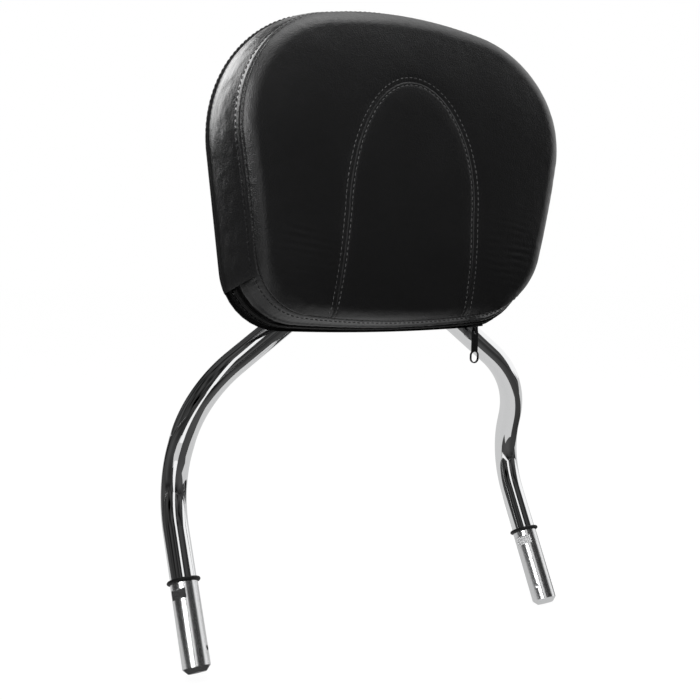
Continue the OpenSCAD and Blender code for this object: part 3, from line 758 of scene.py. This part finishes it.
    def build(self, quick: bool) -> list[bpy.types.Object]:
        """Builds the cover and rides it on its body.

        Args:
            quick: whether a coarse mesh is enough.

        Returns:
            The pieces.
        """
        count, steps = (110, 14) if quick else (420, 44)
        s = self.shape
        places = s.stations(count)
        split = next(i for i, p in enumerate(places) if s.front.at(*p)[2] < -s.gusset_turn)
        side, under = places[:split + 1], places[split:]
        band, centre = self.band(count, steps), self.centre(count // 2, steps // 2 * 4)
        boxing = self.strip("leather_boxing", side, True, 1.0, self.side_profile, steps)
        gusset = self.strip("leather_gusset", under, False, self.gusset_end, self.gusset_profile, steps // 2)
        rear = self.rear(24)
        for piece, node in ((band, "front_panel"), (centre, "center_panel"), (boxing, "side_boxing"),
                            (gusset, "bottom_gusset"), (rear, "back_panel")):
            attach(piece, BODY)
            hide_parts(node)
        top, seam = Stitching(), Stitching(pitch=0.005, length=0.003, radius=0.00075)
        grey, black = self.palette.get(THREAD_GREY), self.palette.get(THREAD_BLACK)
        on_front, on_rear = self.front_ridge - self.stitch_inset, self.rear_ridge + self.stitch_inset
        front_path = self.wall_row(side, True, on_front, self.side_profile)
        rear_path = self.wall_row(side, True, on_rear, self.side_profile)
        under_path = self.wall_row(under, False, on_front, self.gusset_profile)
        seam_path = self.wall_row(places, True, 0.0, lambda share, t: 0.0)
        rows = [top.lay("stitches_shoe_outer", self.shoe_row(self.seam_rows), grey),
                top.lay("stitches_shoe_inner", self.shoe_row(-self.seam_rows), grey),
                top.lay("stitches_front_ridge", front_path, black),
                top.lay("stitches_rear_ridge", rear_path, black),
                top.lay("stitches_gusset", under_path, black),
                seam.lay("stitches_front_seam", seam_path, black)]
        for piece in rows:
            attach(piece, BODY)
        return [band, centre, boxing, gusset, rear, *rows]


@dataclass(frozen=True)
class TubeArch:
    """The bent chrome tube, swept smoothly along its route."""

    palette: Palette
    radius: float = 0.0111
    bar: tuple[float, float, float] = (0.064, 0.0024, 0.230)
    knee: tuple[float, float, float] = (0.166, 0.0035, 0.153)
    shoulder: tuple[float, float, float] = (0.177, 0.0, 0.0)
    rake: float = math.radians(30)
    foot_up: float = 0.080
    bends: tuple[float, float, float] = (0.070, 0.094, 0.077)

    def route(self, per_bend: int) -> Row:
        """Points of the centre line from the left shoulder to the right one."""
        up = Vector((0, math.sin(self.rake), math.cos(self.rake)))
        end = Vector(self.shoulder)
        corners = [Vector((0, self.bar[1], self.bar[2])), Vector(self.bar), Vector(self.knee),
                   end + self.foot_up * up, end]
        half: Row = [corners[0]]
        for radius, a, b, c in zip(self.bends, corners, corners[1:], corners[2:]):
            u, w = (b - a).normalized(), (c - b).normalized()
            turn = u.angle(w)
            start, axis = b - u * radius * math.tan(turn / 2), u.cross(w).normalized()
            centre = start + axis.cross(u) * radius
            half += [centre + Matrix.Rotation(turn * k / per_bend, 3, axis) @ (start - centre)
                     for k in range(per_bend + 1)]
        half.append(end)
        return [Vector((-p.x, p.y, p.z)) for p in reversed(half[1:])] + half[1:]

    def build(self, quick: bool) -> bpy.types.Object:
        """Sweeps the tube and rides it on its body."""
        route = self.route(8 if quick else 44)
        around = 24 if quick else 128
        side = Vector((0, 1, 0))
        rows: list[Row] = []
        for i, p in enumerate(route):
            ahead = (route[min(i + 1, len(route) - 1)] - route[max(i - 1, 0)]).normalized()
            side = (side - ahead * side.dot(ahead)).normalized()
            other = ahead.cross(side)
            turns = [2 * math.pi * k / around for k in range(around + 1)]
            rows.append([p + self.radius * (math.cos(t) * side + math.sin(t) * other) for t in turns])
        piece = sheet_mesh("chrome_arch", rows, self.palette.get(CHROME))
        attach(piece, BODY)
        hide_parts("frame_tube")
        return piece


@dataclass(frozen=True)
class Studio:
    """Camera, white surroundings, dark flags and lights, placed as in the picture to match."""

    eye: tuple[float, float, float] = (-0.3948, -0.7117, 0.2600)
    right: tuple[float, float, float] = (0.88728, -0.461, 0.01452)
    up: tuple[float, float, float] = (0.0289, 0.08698, 0.99579)
    lens: float = 46.52
    sensor: float = 36.0
    ambient: float = 0.3
    floor_reach: float = 12.0
    floor_drop: float = 0.002
    screen_steps: tuple[int, int] = (24, 12)
    pixels: int = 700
    centre: tuple[float, float, float] = (0.0, 0.0, 0.25)

    def camera(self) -> None:
        """Puts the camera where the picture was taken from."""
        data = bpy.data.cameras.new("camera")
        data.lens, data.sensor_width = self.lens, self.sensor
        data.clip_start, data.clip_end = 0.01, 50.0
        eye = bpy.data.objects.new("camera", data)
        bpy.context.scene.collection.objects.link(eye)
        x, y = Vector(self.right).normalized(), Vector(self.up).normalized()
        z = x.cross(y).normalized()
        y = z.cross(x)
        eye.matrix_world = Matrix.Translation(self.eye) @ Matrix((x, y, z)).transposed().to_4x4()
        bpy.context.scene.camera = eye

    @staticmethod
    def seen(shade: ShaderTree, in_metal: float) -> Wire:
        """Level 1 for the camera, a level of its own in polished metal, and 0 for light on the part."""
        rays = shade.add("ShaderNodeLightPath", {}, {}).outputs
        return Wire(shade, rays["Is Camera Ray"]) + in_metal * Wire(shade, rays["Is Glossy Ray"])

    def surroundings(self) -> None:
        """A world that is white to the camera and in metal, and a plain dim light otherwise."""
        world = bpy.data.worlds.new("surroundings")
        bpy.context.scene.world = world
        shade = ShaderTree(world)
        strength = self.ambient + (1.0 - self.ambient) * self.seen(shade, 1.0)
        shade.feed(shade.tree.nodes["Background"], {"Color": (1.0, 1.0, 1.0, 1.0), "Strength": strength})

    def floor(self, low: float) -> None:
        """A white floor under the part, with a faint shadow."""
        paper = bpy.data.materials.new("white_paper")
        shade = ShaderTree(paper)
        shade.feed(shade.tree.nodes["Principled BSDF"], {
            "Base Color": (0.16, 0.16, 0.16, 1.0), "Roughness": 1.0, "Specular IOR Level": 0.0,
            "Emission Color": (1.0, 1.0, 1.0, 1.0), "Emission Strength": 0.95 * self.seen(shade, 0.6)})
        size = self.floor_reach
        self.card("studio_floor", [[Vector((-size, -size, low)), Vector((-size, size, low))],
                                   [Vector((size, -size, low)), Vector((size, size, low))]], paper)

    @staticmethod
    def glow(name: str, level: float, patchy: float) -> bpy.types.Material:
        """Makes a material that shines by itself.

        Args:
            name: the material's name.
            level: its brightness, 1 being white.
            patchy: how much the brightness varies over a screen.

        Returns:
            The material.
        """
        material = bpy.data.materials.new(name)
        shade = ShaderTree(material)
        place = shade.wire("ShaderNodeTexCoord", "Object", {}, {})
        patches = shade.noise(place, 1.3, 1.0)
        shade.feed(shade.tree.nodes["Principled BSDF"], {
            "Base Color": (0.0, 0.0, 0.0, 1.0), "Roughness": 1.0, "Specular IOR Level": 0.0,
            "Emission Color": (1.0, 1.0, 1.0, 1.0),
            "Emission Strength": level * (1.0 + patchy * (patches - 0.5))})
        return material

    @staticmethod
    def card(name: str, rows: Sequence[Row], material: bpy.types.Material) -> bpy.types.Object:
        """Adds a card or curved screen to the studio, as part of its stage."""
        card = sheet_mesh(name, rows, material)
        card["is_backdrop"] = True
        return card

    def screen(self, name: str, turns: tuple[float, float], rises: tuple[float, float], distance: float,
               material: bpy.types.Material) -> None:
        """Adds a curved screen round the part that only reflections show.

        Args:
            name: the screen's name.
            turns: its first and last bearing from +X, in degrees.
            rises: its lowest and highest elevation, in degrees.
            distance: its radius.
            material: its finish.
        """
        rows: list[Row] = []
        across, up = self.screen_steps
        for i in range(across + 1):
            turn = math.radians(turns[0] + (turns[1] - turns[0]) * i / across)
            row: Row = []
            for j in range(up + 1):
                rise = math.radians(rises[0] + (rises[1] - rises[0]) * j / up)
                row.append(Vector(self.centre) + distance * Vector((
                    math.cos(rise) * math.cos(turn), math.cos(rise) * math.sin(turn), math.sin(rise))))
            rows.append(row)
        self.reflected(self.card(name, rows, material))

    @staticmethod
    def reflected(card: bpy.types.Object) -> None:
        """Leaves a card to reflections alone."""
        card.visible_camera = card.visible_diffuse = card.visible_shadow = card.visible_transmission = False

    def screens(self, low: float) -> None:
        """Dark screens, and a white strip among them, that draw the bands in the polished metal."""
        felt, paper = self.glow("dark_felt", 0.04, 4.5), self.glow("strip_paper", 1.0, 0.0)
        self.screen("screen_dark", (80.0, 342.0), (-14.0, 90.0), 2.6, felt)
        self.screen("screen_strip", (243.0, 260.0), (-10.0, 62.0), 2.2, paper)
        self.screen("screen_right", (334.0, 346.0), (-10.0, 75.0), 2.2, paper)
        for name, finish, height, corners in (
                ("rug_front", felt, 0.001, ((-2.4, -2.4), (-2.4, -0.17), (2.4, -2.4), (2.4, -0.17))),
                ("rug_left", felt, 0.001, ((-2.4, -0.17), (-2.4, 2.0), (-0.42, -0.17), (-0.42, 2.0))),
                ("rug_middle", felt, 0.001, ((-0.24, -0.17), (-0.24, -0.02), (0.0, -0.17), (0.0, -0.06))),
                ("rug_right", felt, 0.001, ((0.24, -0.17), (0.24, 0.3), (0.75, -0.17), (0.75, 0.3))),
                ("rug_strip", paper, 0.002, ((-0.85, -2.0), (-0.37, -0.12), (-0.5, -2.1), (-0.24, -0.14)))):
            a, b, c, d = (Vector((x, y, low + height)) for x, y in corners)
            self.reflected(self.card(name, [[a, b], [c, d]], finish))

    def lamp(self, name: str, place: Sequence[float], size: tuple[float, float], power: float,
             lit: bpy.types.Collection | None = None) -> None:
        """Adds one soft rectangular light that faces the part.

        Args:
            name: the light's name.
            place: where it stands.
            size: width and height.
            power: watts.
            lit: the only pieces that it lights, if not all of them.
        """
        data = bpy.data.lights.new(name, "AREA")
        data.shape, data.size, data.size_y, data.energy = "RECTANGLE", size[0], size[1], power
        lamp = bpy.data.objects.new(name, data)
        bpy.context.scene.collection.objects.link(lamp)
        lamp.location = place
        lamp.rotation_euler = (Vector(self.centre) - Vector(place)).to_track_quat("-Z", "Y").to_euler()
        if lit:
            lamp.light_linking.receiver_collection = lit

    def build(self, low: float, lit_pieces: Sequence[bpy.types.Object]) -> None:
        """Builds the whole studio.

        Args:
            low: height of the part's lowest point.
            lit_pieces: the pieces that the two side lamps light.
        """
        lit = bpy.data.collections.new("cover_light")
        for piece in lit_pieces:
            lit.objects.link(piece)
        floor_at = low - self.floor_drop
        self.camera()
        self.surroundings()
        self.floor(floor_at)
        self.screens(floor_at)
        self.lamp("key_left", (-1.0, -0.75, 0.85), (0.45, 1.0), 9.5, lit)
        self.lamp("rim_left", (-0.55, 1.15, 0.95), (0.9, 0.9), 13.0, lit)
        self.lamp("top", (0.0, -0.2, 1.5), (1.0, 0.6), 5.0)
        scene = bpy.context.scene
        scene.view_settings.view_transform = "Standard"
        scene.render.resolution_x = scene.render.resolution_y = self.pixels


def dress_cad(palette: Palette) -> None:
    """Gives each CAD node that stays in sight its finish."""
    for name, finish in CAD_FINISHES.items():
        piece = bpy.data.objects[name]
        for place in piece.material_slots:
            place.material = palette.get(finish)
        log.info("%s: %s", name, finish.name)


def plain(box: Sequence[Sequence[float]]) -> list[list[float]]:
    """A box as plain lists."""
    return [[float(v) for v in corner] for corner in box]


def main() -> None:
    """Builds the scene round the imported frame."""
    logging.basicConfig(level=logging.INFO, format="%(name)s %(message)s")
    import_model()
    sizes = {"cad": plain(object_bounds())}
    palette = Palette()
    dress_cad(palette)
    cover = LeatherCover(CushionShape(), palette).build(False)
    for piece in cover:
        log.info("%s: %d faces", piece.name, len(piece.data.polygons))
    arch = TubeArch(palette).build(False)
    log.info("%s: %d faces", arch.name, len(arch.data.polygons))
    posts = [bpy.data.objects[name] for name in ("left_post", "right_post")]
    Studio().build(sizes["cad"][0][2], [*cover, *posts])
    sizes["visual"] = plain(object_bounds())


if __name__ == "__main__":
    main()
